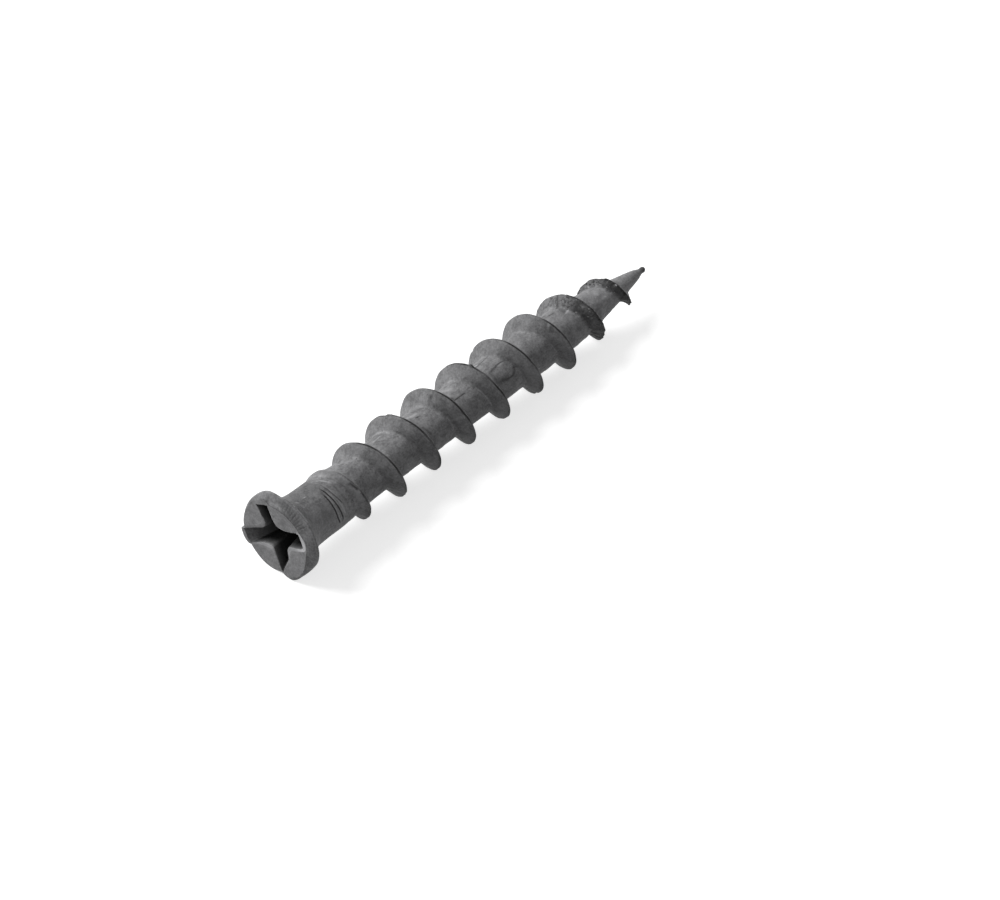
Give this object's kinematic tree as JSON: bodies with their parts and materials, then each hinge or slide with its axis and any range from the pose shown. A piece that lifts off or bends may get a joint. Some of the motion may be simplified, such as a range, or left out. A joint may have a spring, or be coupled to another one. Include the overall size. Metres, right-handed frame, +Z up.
{
  "type": "drywall screw",
  "caption": "Coarse-threaded screw with a flared head, a cross recess and a long sharp point, lying on its side.",
  "frame": {"origin": "middle of the outline in X and Y, at the surface the screw lies on", "axes": "+X along the screw from the head to the tip, +Z up from the surface it lies on"},
  "size_m": [0.0386, 0.007, 0.0067],
  "materials": {
    "phosphated_steel": "matte dark grey phosphate coat"
  },
  "bodies": {
    "root": {"drywall_screw": "phosphated_steel"}
  },
  "joints": []
}
